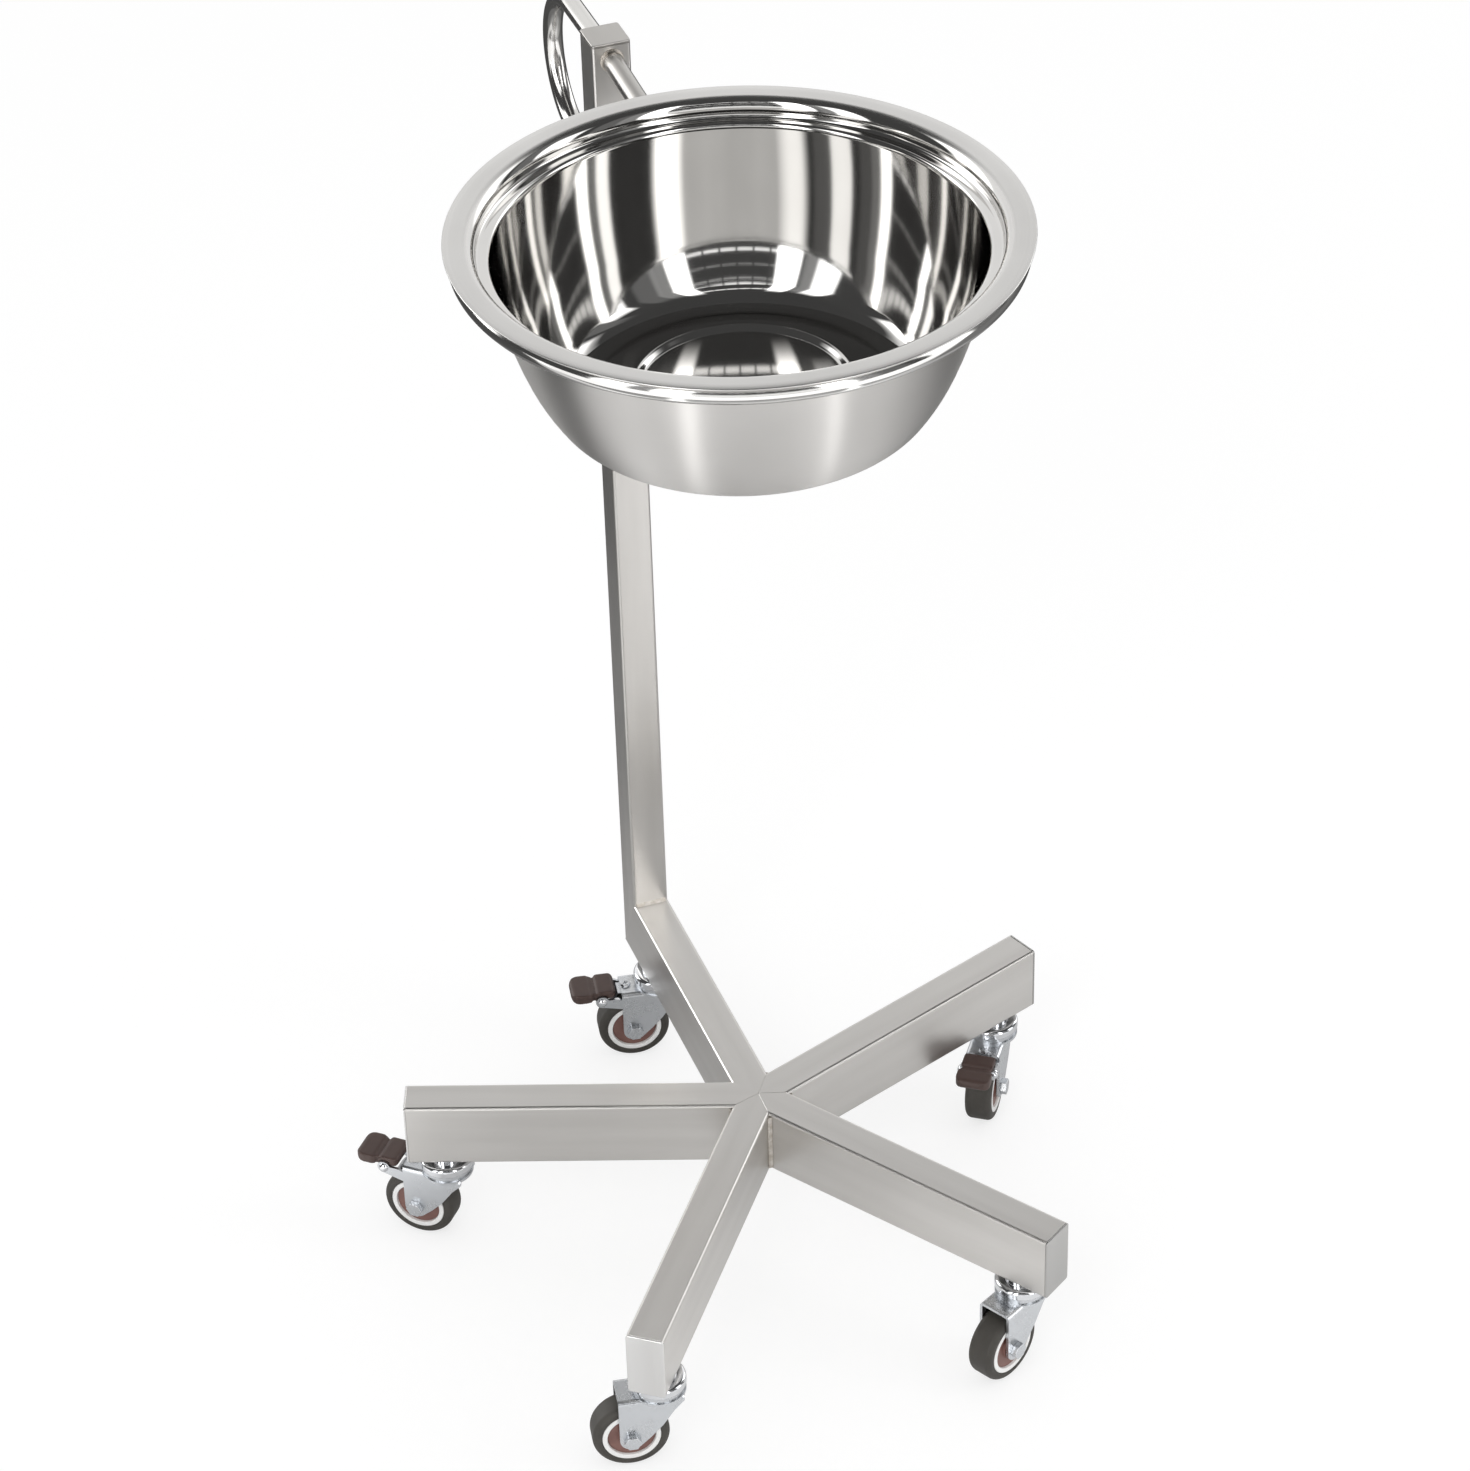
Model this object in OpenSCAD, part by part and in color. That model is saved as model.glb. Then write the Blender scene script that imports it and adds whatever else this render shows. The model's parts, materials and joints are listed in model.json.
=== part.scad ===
// Bowl stand on five casters: a round basin in a ring on a square post.
// Millimetres, +Z up. The origin lies on the floor under the middle of the
// hub where the five legs meet. The post stands towards +Y.

/* [Base legs] */
// Width of the box tube
leg_w = 25; // [20:0.5:30]
// Height of the box tube
leg_h = 48; // [40:1:60]
// Wall thickness of the box tube
leg_wall = 1.5; // [1:0.1:2]
// Outside corner radius of the box tube
leg_corner = 2; // [1.5:0.1:3]
// Length of the left leg from the hub centre
left_len = 235; // [225:1:260]
// Length of the front leg
front_len = 242; // [232:1:260]
// Length of the right front leg
right_front_len = 237; // [227:1:260]
// Length of the right back leg
right_back_len = 237.5; // [227:0.5:260]
// Direction of the left leg in plan
left_angle = 159.3; // [150:0.1:168]
// Direction of the front leg
front_angle = 232.7; // [224:0.1:242]
// Direction of the right front leg
right_front_angle = 303.5; // [295:0.1:312]
// Direction of the right back leg
right_back_angle = 19.9; // [11:0.1:28]
// Thickness of the plates that close the leg ends
end_plate_t = 1.5; // [1:0.1:3]
// Side of the weld beads in the corners
bead = 3; // [1:0.5:4]

/* [Post] */
// Side of the square post tube
post_w = 25; // [20:0.5:30]
// Hub centre to the front face of the post
post_y = 217; // [210:1:240]
// Floor to the top of the post cap
post_top = 792.4; // [650:0.1:950]
// Thickness of the post cap
cap_t = 2; // [1:0.5:4]

/* [Bowl ring and arm] */
// Diameter of ring bar, arm bar and handle tube
bar_d = 12.7; // [11:0.1:14]
// Centreline radius of the ring
ring_r = 163; // [155:0.5:175]
// Ring centre in front of (-) or behind (+) the hub centre
ring_y = -11; // [-30:1:2]
// Arm axis below the top of the post
arm_below_top = 11.9; // [11:0.1:30]
// Fall of the arm towards the ring in degrees
arm_fall = 3.7; // [0:0.1:4]

/* [Push handle] */
// Post to the centreline where the handle stands out farthest
handle_reach = 98.3; // [85:0.1:120]
// Radius of the half circle that turns the handle back to the post
handle_bend = 45; // [40:0.5:60]
// Wall thickness of the handle tube
handle_wall = 1.2; // [1:0.1:2]

/* [Bowl] */
// Outer radius of the flange
flange_r = 171.5; // [170.5:0.5:178]
// Sheet thickness
bowl_t = 1.2; // [0.8:0.1:1.3]
// Depth from the flange to the lowest inside circle
bowl_depth = 113.5; // [105:0.5:130]
// Radius where the flange rolls over into the step
lip_r = 10; // [9.8:0.1:12]
// Lean of the wall from the vertical just under its shoulder, in degrees
top_lean = 9; // [6:0.5:12]
// Lean where the wall's two curves meet, in degrees
wall_lean = 22; // [19:0.5:24]
// Lean where the turn from the wall to the floor begins, in degrees
low_lean = 34; // [30:0.5:38]
// Radius of the turn from the wall to the floor
knuckle_r = 19; // [15:0.1:24]
// Radius of the raised circle in the floor
floor_ring_r = 66; // [60:0.5:72]
// Rise of the floor towards the raised circle in degrees
floor_rise = 20; // [10:0.5:24]

/* [Casters] */
// Free end of the left leg to its caster's swivel
left_setback = 25; // [21:0.5:35]
// Rear end of the rear leg to its caster's swivel
rear_setback = 36; // [30:0.5:47]
// Free end of the front leg to its caster's swivel
front_setback = 23; // [21:0.5:37]
// Free end of the right front leg to its caster's swivel
right_front_setback = 27; // [21:0.5:37]
// Free end of the right back leg to its caster's swivel
right_back_setback = 28; // [21.5:0.5:37]
// Direction in which the left wheel trails
left_heading = 138.5; // [0:0.5:359.5]
// Direction in which the rear wheel trails
rear_heading = 169.5; // [0:0.5:359.5]
// Direction in which the front wheel trails
front_heading = 170; // [0:0.5:359.5]
// Direction in which the right front wheel trails
right_front_heading = 208.5; // [0:0.5:359.5]
// Direction in which the right back wheel trails
right_back_heading = 234.5; // [0:0.5:359.5]
// Wheel diameter
wheel_d = 50; // [46:1:54]
// Width of the wheel across its side faces
wheel_w = 18.6; // [17:0.1:19]
// Swivel axis to wheel axis
trail = 20; // [17:0.5:22]
// Underside of the leg to the top of the tyre
tyre_drop = 21.4; // [21:0.1:30]
// Radius of the turned swivel head
head_r = 17.8; // [17:0.1:20]
// Radius of the stem and of the kingpin
stem_r = 5; // [4:0.1:5.5]
// Height of the stem above the underside of the leg
stem_len = 20; // [15:0.5:30]
// Width of the fork outside
fork_w = 24; // [23.5:0.1:26]
// Sheet thickness of the fork
fork_t = 2; // [1.5:0.1:2.2]
// Radius of the axle bolt
axle_r = 3; // [2.5:0.1:3.5]

/* [Foot brakes] */
// Swivel axis to the pivot of the pedal
pivot_x = 42; // [41:0.5:45]
// Swivel axis to the outer edge of the pedal
pedal_tip = 63.5; // [60:0.5:74]
// Width of the pedal
pedal_w = 24; // [20:0.5:28]
// Radius of the pedal pin
pivot_r = 1.5; // [1.2:0.1:1.8]

/* [Hidden] */
$fn = 96;

// Clearance between pieces that are fitted together
fit_gap = 0.05;
// Clearance between neighbours that move against each other
part_gap = 0.3;

wheel_r = wheel_d / 2;
axle_z = -tyre_drop - wheel_r;
leg_bottom = wheel_r - axle_z;
leg_top = leg_bottom + leg_h;
bar_r = bar_d / 2;
post_back = post_y + post_w;
tube_top = post_top - cap_t;
arm_z = post_top - arm_below_top;
arm_run = post_y - ring_y - ring_r;
// The arm meets the ring a little below its centreline, clear of the flange
arm_low = (flange_r - ring_r) * tan(arm_fall) + 0.2;
ring_z = arm_z - arm_run * tan(arm_fall) + arm_low;
// The arm ends inside the ring bar, a little outside its centreline
arm_cope = bar_r / 2;
weld_lip = 1.6;

// Leg directions and lengths in turn round the hub, the rear leg second
leg_angles = [right_back_angle, 90, left_angle, front_angle, right_front_angle];
leg_lens = [right_back_len, post_back, left_len, front_len, right_front_len];

// Casters in the same order as the legs
setbacks = [right_back_setback, rear_setback, left_setback, front_setback,
            right_front_setback];
headings = [right_back_heading, rear_heading, left_heading, front_heading,
            right_front_heading];
right_back = 0;
rear = 1;
left = 2;
front = 3;
right_front = 4;

// Heights in a caster, measured from the underside of the leg
neck_h = 3;
head_h = 6;
race_h = 4.2;
race_top = -neck_h - head_h - part_gap;
crown_top = race_top - race_h;
crown_bottom = crown_top - fork_t;
race_r = 12.5;
ball_r = 1.75;
groove_r = ball_r + fit_gap;
rivet_h = 2.7;

// Fork, pedal and brake leaf
crown_x = 28;
cheek = fork_w / 2 - fork_t;
pivot_z = crown_top - 4;
arm_end_r = 4.6;
lobe_r = 3.2;
lobe_rise = 4.8;
screw_x = 24;
leaf_t = 1;
leaf_top = crown_bottom - fit_gap;

// Hub of the wheel
tyre_t = 6;
rim_r = wheel_r - tyre_t;
bush_r = axle_r + 3;
web_w = 12;
cover_r = 15.5;
nut_flats = 10;
nut_r = nut_flats / 2 / cos(30);
bolt_head_h = 4;
nut_h = 5;

steel = [0.74, 0.73, 0.71];
bright = [0.84, 0.84, 0.84];
zinc = [0.70, 0.73, 0.77];
white = [0.92, 0.92, 0.90];
brown = [0.36, 0.27, 0.25];
hub_red = [0.50, 0.36, 0.33];
dark = [0.27, 0.26, 0.24];

function dir(a) = [cos(a), sin(a)];
function swivel_at(i) = (leg_lens[i] - setbacks[i]) * dir(leg_angles[i]);

// Shared shapes

module rounded(w, h, r) {
    square([w - 2 * r, h], center = true);
    square([w, h - 2 * r], center = true);
    for (x = [-1, 1]) for (y = [-1, 1])
        translate([x * (w / 2 - r), y * (h / 2 - r)])
            circle(r);
}

module tube_section(w, h) {
    difference() {
        rounded(w, h, leg_corner);
        rounded(w - 2 * leg_wall, h - 2 * leg_wall, max(leg_corner - leg_wall, 0.2));
    }
}

// Turns X and Y of a drawing into the world's Y and Z
module side_plane() {
    rotate([90, 0, 90])
        children();
}

// Origin at the swivel on the underside of a leg, X towards the wheel
module at_caster(i) {
    p = swivel_at(i);
    translate([p[0], p[1], leg_bottom])
        rotate([0, 0, headings[i]])
            children();
}

// Origin in the middle of the wheel, Z along the axle
module at_wheel(i) {
    at_caster(i)
        translate([trail, 0, axle_z])
            rotate([90, 0, 0])
                children();
}

// A drawing with X away from the swivel and Y up, given a width across the fork
module across(w) {
    rotate([90, 0, 0])
        linear_extrude(w, center = true)
            children();
}

// Legs and post

// The sector that one leg has at the hub, up to the mitres with its neighbours
module leg_sector(i) {
    before = i == 0 ? leg_angles[4] - 360 : leg_angles[i - 1];
    after = i == 4 ? leg_angles[0] + 360 : leg_angles[i + 1];
    far = 1.6 * leg_lens[i];
    translate([0, 0, leg_bottom - 1])
        linear_extrude(leg_h + 2)
            polygon([[0, 0], far * dir((before + leg_angles[i]) / 2),
                far * dir((after + leg_angles[i]) / 2)]);
}

module leg_tube(i, len) {
    difference() {
        intersection() {
            rotate([0, 0, leg_angles[i]])
                translate([0, 0, leg_bottom + leg_h / 2])
                    rotate([90, 0, 90])
                        linear_extrude(len)
                            tube_section(leg_w, leg_h);
            leg_sector(i);
        }
        at_caster(i)
            translate([0, 0, -1])
                cylinder(r = stem_r + 2 * fit_gap, h = leg_wall + 2);
    }
}

module side_leg(i) {
    color(steel)
        leg_tube(i, leg_lens[i] - end_plate_t);
}

// Corners of the slanting mitre between rear leg and post, made longer both ways
mitre_step = [post_w, -leg_h] / 5;
mitre_high = [post_y, leg_top] - mitre_step;
mitre_low = [post_back, leg_bottom] + mitre_step;

module rear_leg() {
    color(steel)
        difference() {
            leg_tube(rear, post_back);
            side_plane()
                translate([0, 0, -leg_w])
                    linear_extrude(2 * leg_w)
                        polygon([mitre_high, mitre_low, [post_back + leg_w, mitre_low[1]],
                            [post_back + leg_w, mitre_high[1]]]);
        }
}

module leg_end_plates() {
    color(steel)
        for (i = [right_back, left, front, right_front])
            rotate([0, 0, leg_angles[i]])
                translate([leg_lens[i] - end_plate_t, 0, leg_bottom + leg_h / 2])
                    rotate([90, 0, 90])
                        linear_extrude(end_plate_t)
                            rounded(leg_w, leg_h, leg_corner);
}

// One upright bead in each corner between two legs
module corner_welds() {
    color(steel)
        for (i = [0:4]) {
            a = leg_angles[i];
            b = i == 4 ? leg_angles[0] + 360 : leg_angles[i + 1];
            corner = leg_w / 2 / sin((b - a) / 2) * dir((a + b) / 2);
            translate([0, 0, leg_bottom + leg_corner])
                linear_extrude(leg_h - 2 * leg_corner)
                    polygon([corner, corner + bead * dir(a), corner + bead * dir(b)]);
        }
}

module post() {
    color(steel)
        difference() {
            translate([0, post_y + post_w / 2, leg_bottom])
                linear_extrude(tube_top - leg_bottom)
                    tube_section(post_w, post_w);
            side_plane()
                translate([0, 0, -post_w])
                    linear_extrude(2 * post_w)
                        polygon([mitre_high, mitre_low, [post_y - post_w, mitre_low[1]],
                            [post_y - post_w, mitre_high[1]]]);
            along_arm()
                translate([0, 0, -leg_wall - 3])
                    cylinder(r = bar_r + 2 * fit_gap, h = leg_wall + 6);
        }
}

module post_cap() {
    color(steel)
        translate([0, post_y + post_w / 2, tube_top])
            linear_extrude(cap_t)
                rounded(post_w, post_w, leg_corner);
}

// Bowl ring, arm and push handle

// Origin where the arm leaves the post, Z along the arm
module along_arm() {
    translate([0, post_y, arm_z])
        rotate([90 + arm_fall, 0, 0])
            children();
}

module ring_shape(r) {
    translate([0, ring_y, ring_z])
        rotate_extrude()
            translate([ring_r, 0])
                circle(r);
}

module bowl_arm() {
    inside = post_w - leg_wall - 1;
    color(steel)
        difference() {
            along_arm()
                translate([0, 0, -inside])
                    cylinder(r = bar_r, h = inside + arm_run / cos(arm_fall) - arm_cope);
            ring_shape(bar_r + fit_gap);
        }
}

module bowl_ring() {
    color(steel)
        ring_shape(bar_r);
}

// The handle's centreline in the side plane, drawn as a rod of radius r
module handle_rod(r, start) {
    bend_y = post_back + handle_reach - handle_bend;
    side_plane()
        translate([bend_y, arm_z - handle_bend, 0]) {
            rotate([0, 0, -90])
                rotate_extrude(angle = 180)
                    translate([handle_bend, 0])
                        circle(r);
            for (s = [-1, 1])
                translate([start - bend_y, s * handle_bend, 0])
                    rotate([0, 90, 0])
                        cylinder(r = r, h = bend_y - start);
        }
}

module push_handle() {
    color(bright)
        difference() {
            handle_rod(bar_r, post_back);
            handle_rod(bar_r - handle_wall, post_back - 1);
        }
}

module frame_welds() {
    collar_h = 2.4;
    color(steel) {
        // Where the arm goes into the post
        difference() {
            along_arm()
                translate([0, 0, -1])
                    cylinder(r1 = bar_r + weld_lip, r2 = bar_r + 0.5, h = collar_h + 1);
            along_arm()
                translate([0, 0, -2])
                    cylinder(r = bar_r + fit_gap, h = collar_h + 4);
            translate([-post_w, post_y, arm_z - post_w])
                cube([2 * post_w, post_w, 2 * post_w]);
        }
        // Round both ends of the handle
        for (z = [arm_z, arm_z - 2 * handle_bend])
            translate([0, post_back, z])
                rotate([-90, 0, 0])
                    difference() {
                        cylinder(r1 = bar_r + weld_lip, r2 = bar_r + 0.5, h = collar_h);
                        translate([0, 0, -1])
                            cylinder(r = bar_r + fit_gap, h = collar_h + 2);
                    }
        // Between the arm and the ring
        difference() {
            intersection() {
                along_arm()
                    translate([0, 0, arm_run / cos(arm_fall) - 2 * bar_r])
                        cylinder(r = bar_r + 1, h = 2 * bar_r - 1);
                ring_shape(bar_r + weld_lip);
            }
            along_arm()
                cylinder(r = bar_r + fit_gap, h = arm_run);
            ring_shape(bar_r + fit_gap);
            translate([-post_w, ring_y + ring_r - post_w, ring_z + bar_r - part_gap])
                cube([2 * post_w, 2 * post_w, post_w]);
        }
        // Across the top of the rear leg, in front of the post
        side_plane()
            translate([0, 0, leg_corner - leg_w / 2])
                linear_extrude(leg_w - 2 * leg_corner)
                    polygon([[post_y, leg_top], [post_y, leg_top + 2], [post_y - 2, leg_top]]);
    }
}

// Caster heads

module stem_nuts() {
    color(steel)
        for (i = [0:4])
            at_caster(i)
                translate([0, 0, leg_wall])
                    difference() {
                        cylinder(r = 2 * stem_r, h = stem_len - leg_wall - 1);
                        translate([0, 0, -1])
                            cylinder(r = stem_r + fit_gap, h = stem_len + 2);
                    }
}

module swivel_heads() {
    rim = 2.5;
    color(bright)
        for (i = [0:4])
            at_caster(i)
                difference() {
                    union() {
                        translate([0, 0, crown_bottom - part_gap])
                            cylinder(r = stem_r, h = stem_len - crown_bottom + part_gap);
                        translate([0, 0, -neck_h - 1])
                            cylinder(r = head_r - 6.5, h = neck_h + 1);
                        rotate_extrude()
                            translate([0, -neck_h - head_h]) {
                                square([head_r - rim, head_h]);
                                square([head_r, head_h - rim]);
                                translate([head_r - rim, head_h - rim])
                                    circle(rim);
                            }
                        translate([0, 0, crown_bottom - part_gap - rivet_h])
                            cylinder(r1 = stem_r + 1, r2 = stem_r + 2, h = rivet_h);
                    }
                    race_groove();
                }
}

module race_groove() {
    rotate_extrude()
        translate([race_r, race_top + part_gap / 2])
            circle(groove_r);
}

module swivel_balls() {
    color(bright)
        for (i = [0:4])
            at_caster(i)
                for (a = [0:30:330])
                    rotate([0, 0, a])
                        translate([race_r, 0, race_top + part_gap / 2])
                            sphere(ball_r);
}

// Fork with its axle

// Side view of one cheek, X away from the swivel
module cheek_outline() {
    tip_r = 8;
    rear_tip = [trail, axle_z] + tip_r * dir(-127);
    translate([trail, axle_z])
        circle(tip_r);
    polygon([[crown_x, crown_top], [trail + tip_r, axle_z], [trail, axle_z], rear_tip,
        [trail - 12, axle_z + 0.4], [trail - 20, axle_z + 9.4], [-8, crown_bottom - 9.5],
        [-14.5, crown_bottom - 2.2], [-14.5, crown_top]]);
}

// Bent sheet seen from the front, with rounded bends at the crown
module channel_section() {
    bend = fork_t + 1;
    depth = 2 * wheel_r + tyre_drop;
    difference() {
        union() {
            translate([-fork_w / 2, crown_top - bend - depth])
                square([fork_w, depth]);
            translate([bend - fork_w / 2, crown_top - 2 * bend])
                square([fork_w - 2 * bend, 2 * bend]);
            for (s = [-1, 1])
                translate([s * (fork_w / 2 - bend), crown_top - bend])
                    circle(bend);
        }
        translate([-cheek, crown_top - bend - depth - 1])
            square([2 * cheek, depth + 1]);
        translate([1 - cheek, crown_top - 2 * bend])
            square([2 * cheek - 2, 2 * bend - fork_t]);
        for (s = [-1, 1])
            translate([s * (cheek - 1), crown_top - bend])
                circle(1);
    }
}

// The two arms that carry a pedal in front of the crown
module pedal_arms() {
    arm_top = pivot_z + lobe_rise - lobe_r - part_gap;
    for (s = [-1, 1])
        translate([0, s * (fork_w - fork_t) / 2, 0])
            across(fork_t) {
                translate([pivot_x, pivot_z])
                    circle(arm_end_r);
                polygon([[crown_x - 4, crown_top - 4], [crown_x + 0.5, crown_top - 4],
                    [crown_x + 3, arm_top], [pivot_x, arm_top],
                    [pivot_x, pivot_z - arm_end_r], [crown_x - 4, crown_top - 13]]);
            }
}

module fork(i, braked) {
    color(zinc)
        at_caster(i)
            difference() {
                union() {
                    translate([0, 0, crown_top])
                        cylinder(r = head_r - 1.3, h = race_h);
                    translate([0, 0, crown_bottom])
                        cylinder(r = head_r - 0.3, h = fork_t);
                    intersection() {
                        rotate([90, 0, 90])
                            linear_extrude(4 * crown_x, center = true)
                                channel_section();
                        across(2 * fork_w)
                            cheek_outline();
                    }
                    if (braked)
                        pedal_arms();
                }
                translate([0, 0, crown_bottom - 1])
                    cylinder(r = stem_r + fit_gap, h = race_h + fork_t + 2);
                race_groove();
                translate([trail, 0, axle_z])
                    rotate([90, 0, 0])
                        cylinder(r = axle_r + fit_gap, h = 2 * fork_w, center = true);
                if (braked) {
                    translate([pivot_x, 0, pivot_z])
                        rotate([90, 0, 0])
                            cylinder(r = pivot_r + fit_gap, h = 2 * fork_w, center = true);
                    translate([screw_x, 0, crown_bottom - 1])
                        cylinder(r = 2 + fit_gap, h = fork_t + 2);
                }
            }
}

module axle(i) {
    color(zinc)
        at_wheel(i) {
            translate([0, 0, -fork_w / 2 - bolt_head_h])
                cylinder(r = nut_r, h = bolt_head_h, $fn = 6);
            translate([0, 0, -fork_w / 2 - 1])
                cylinder(r = axle_r, h = fork_w + nut_h + 2);
            translate([0, 0, fork_w / 2])
                difference() {
                    cylinder(r = nut_r, h = nut_h, $fn = 6);
                    translate([0, 0, -1])
                        cylinder(r = axle_r + fit_gap, h = nut_h + 2);
                }
        }
}

// Wheel

module tyre(i) {
    shoulder = 4;
    color(dark)
        at_wheel(i)
            rotate_extrude()
                difference() {
                    union() {
                        translate([rim_r - 1, -wheel_w / 2])
                            square([tyre_t - shoulder + 1, wheel_w]);
                        translate([rim_r - 1, shoulder - wheel_w / 2])
                            square([tyre_t + 1, wheel_w - 2 * shoulder]);
                        for (s = [-1, 1])
                            translate([wheel_r - shoulder, s * (wheel_w / 2 - shoulder)])
                                circle(shoulder);
                    }
                    translate([0, -wheel_w])
                        square([rim_r, 2 * wheel_w]);
                }
}

module wheel_core(i) {
    color(white)
        at_wheel(i)
            rotate_extrude() {
                translate([cover_r + 2 * fit_gap, -wheel_w / 2])
                    square([rim_r - cover_r - 3 * fit_gap, wheel_w]);
                translate([bush_r + fit_gap, -web_w / 2])
                    square([rim_r - bush_r - 2 * fit_gap, web_w]);
            }
}

module hub_covers(i) {
    color(hub_red)
        at_wheel(i)
            for (s = [0, 1])
                mirror([0, 0, s])
                    translate([0, 0, web_w / 2])
                        rotate_extrude() {
                            translate([bush_r + fit_gap, 0])
                                square([cover_r - bush_r - fit_gap, 1.6]);
                            translate([bush_r + fit_gap, 0])
                                square([2.5, wheel_w / 2 - web_w / 2]);
                        }
}

module hub_bush(i) {
    color(bright)
        at_wheel(i)
            difference() {
                cylinder(r = bush_r, h = 2 * cheek - 2 * part_gap, center = true);
                cylinder(r = axle_r + fit_gap, h = fork_w, center = true);
            }
}

// Foot brake

// Side view of the pedal, X away from the swivel; two lobes with a saddle between
module pedal_top() {
    translate([pivot_x - 6.8, pivot_z + lobe_rise])
        circle(lobe_r);
    translate([pivot_x + 1.3, pivot_z + lobe_rise])
        circle(lobe_r);
    translate([pivot_x - 6.8, pivot_z + lobe_rise])
        square([8.1, lobe_r]);
    translate([pivot_x + 5, pivot_z + 4.6])
        square([pedal_tip - pivot_x - 8, 2.2]);
    polygon([[pivot_x - 8, pivot_z + 5], [pivot_x + 3.2, pivot_z + 7.2],
        [pivot_x + 6, pivot_z + 4.6], [pivot_x + 8.6, pivot_z + 7.3],
        [pedal_tip - 3.6, pivot_z + 7.5], [pedal_tip - 3.6, pivot_z + 0.5],
        [pivot_x + 7, pivot_z + 0.6], [pivot_x + 5.2, pivot_z + 5]]);
    translate([pedal_tip - 3.5, pivot_z + 4])
        circle(3.5);
}

// Plan of the pedal, a small lobe over the arms and a wider one for the toe
module pedal_plan() {
    inner = pivot_x - 6.8 - lobe_r;
    waist = pivot_x + 5.5;
    translate([(inner + waist) / 2, 0])
        rounded(waist - inner, pedal_w - 2, 4);
    translate([(waist + pedal_tip) / 2 - 1, 0])
        rounded(pedal_tip - waist + 2, pedal_w, 7);
}

module pedal_hub() {
    translate([pivot_x, pivot_z])
        circle(4.2);
    translate([pivot_x, pivot_z] + 3.5 * dir(233))
        circle(1.4);
    polygon([[pivot_x - 9, pivot_z + 5], [pivot_x - 4, pivot_z + 0.5],
        [pivot_x + 4, pivot_z + 0.5], [pivot_x + 8, pivot_z + 0.6],
        [pivot_x + 8, pivot_z + 5]]);
}

module pedal(i) {
    color(brown)
        at_caster(i)
            difference() {
                union() {
                    intersection() {
                        across(pedal_w)
                            pedal_top();
                        translate([0, 0, pivot_z])
                            linear_extrude(4 * arm_end_r, center = true)
                                pedal_plan();
                    }
                    across(2 * cheek - 0.8)
                        pedal_hub();
                }
                // Room for the ends of the two arms
                for (s = [-1, 1])
                    translate([pivot_x, s * (cheek + pedal_w / 2 - 0.4), pivot_z])
                        rotate([90, 0, 0])
                            cylinder(r = arm_end_r + 0.4, h = pedal_w, center = true);
                translate([pivot_x, 0, pivot_z])
                    rotate([90, 0, 0])
                        cylinder(r = pivot_r + fit_gap, h = 2 * pedal_w, center = true);
            }
}

// Spring strip under the crown; the pedal presses its end on the tyre
module brake_leaf(i) {
    lip = 9;
    bend_x = crown_x + 2;
    color(zinc)
        at_caster(i)
            difference() {
                across(12)
                    polygon([[stem_r + 4, leaf_top], [bend_x + 0.5, leaf_top],
                        [bend_x + 7, leaf_top - lip], [bend_x + 6.2, leaf_top - lip - 0.5],
                        [bend_x, leaf_top - leaf_t], [stem_r + 4, leaf_top - leaf_t]]);
                translate([screw_x, 0, leaf_top - 2])
                    cylinder(r = 2 + fit_gap, h = 4);
            }
}

// Cross-slot screw on the crown with its nut under the leaf
module leaf_screw(i) {
    nut_top = leaf_top - leaf_t;
    color(zinc)
        at_caster(i)
            translate([screw_x, 0, 0]) {
                difference() {
                    union() {
                        translate([0, 0, crown_top])
                            cylinder(r1 = 3.6, r2 = 3, h = 1.8);
                        translate([0, 0, nut_top - 3])
                            cylinder(r = 2, h = crown_top - nut_top + 3.5);
                    }
                    for (a = [0, 90])
                        rotate([0, 0, a + 20])
                            translate([-2, -0.4, crown_top + 0.8])
                                cube([4, 0.8, 2]);
                }
                translate([0, 0, nut_top - 2.4])
                    difference() {
                        cylinder(r = 4, h = 2.4, $fn = 6);
                        translate([0, 0, -1])
                            cylinder(r = 2 + fit_gap, h = 5);
                    }
            }
}

module pedal_pin(i) {
    dome_r = 3.75;
    dome_h = 2.4;
    color(bright)
        at_caster(i)
            translate([pivot_x, 0, pivot_z])
                for (s = [0, 1])
                    mirror([0, s, 0])
                        rotate([-90, 0, 0])
                            rotate_extrude() {
                                translate([0, -0.5 * s])
                                    square([pivot_r, fork_w / 2 + 1 + 0.5 * s]);
                                intersection() {
                                    translate([0, fork_w / 2 + dome_h - dome_r])
                                        circle(dome_r);
                                    translate([0, fork_w / 2])
                                        square([dome_r, dome_h + 1]);
                                }
                            }
}

// Bowl

// Stations along the upper side of the sheet: radius, height and heading.
// A step is [straight length, bend radius, turn]; the sheet lies to the left.
function straight(p, len) = [p[0] + len * cos(p[2]), p[1] + len * sin(p[2]), p[2]];
function bent(p, r, turn) =
    let (s = turn > 0 ? 1 : -1)
    [p[0] + s * r * (cos(p[2] + 90) - cos(p[2] + 90 + turn)),
        p[1] + s * r * (sin(p[2] + 90) - sin(p[2] + 90 + turn)), p[2] + turn];
function stations(p, steps, i = 0) =
    i == len(steps) ? [p] :
    let (q = straight(p, steps[i][0]), turn = steps[i][2],
        n = max(2, ceil(abs(turn) / (steps[i][1] > 20 ? 2.5 : 6))))
    concat(steps[i][0] > 0 ? [p] : [], [for (k = [0:n - 1]) bent(q, steps[i][1], turn * k / n)],
        stations(bent(q, steps[i][1], turn), steps, i + 1));

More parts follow.
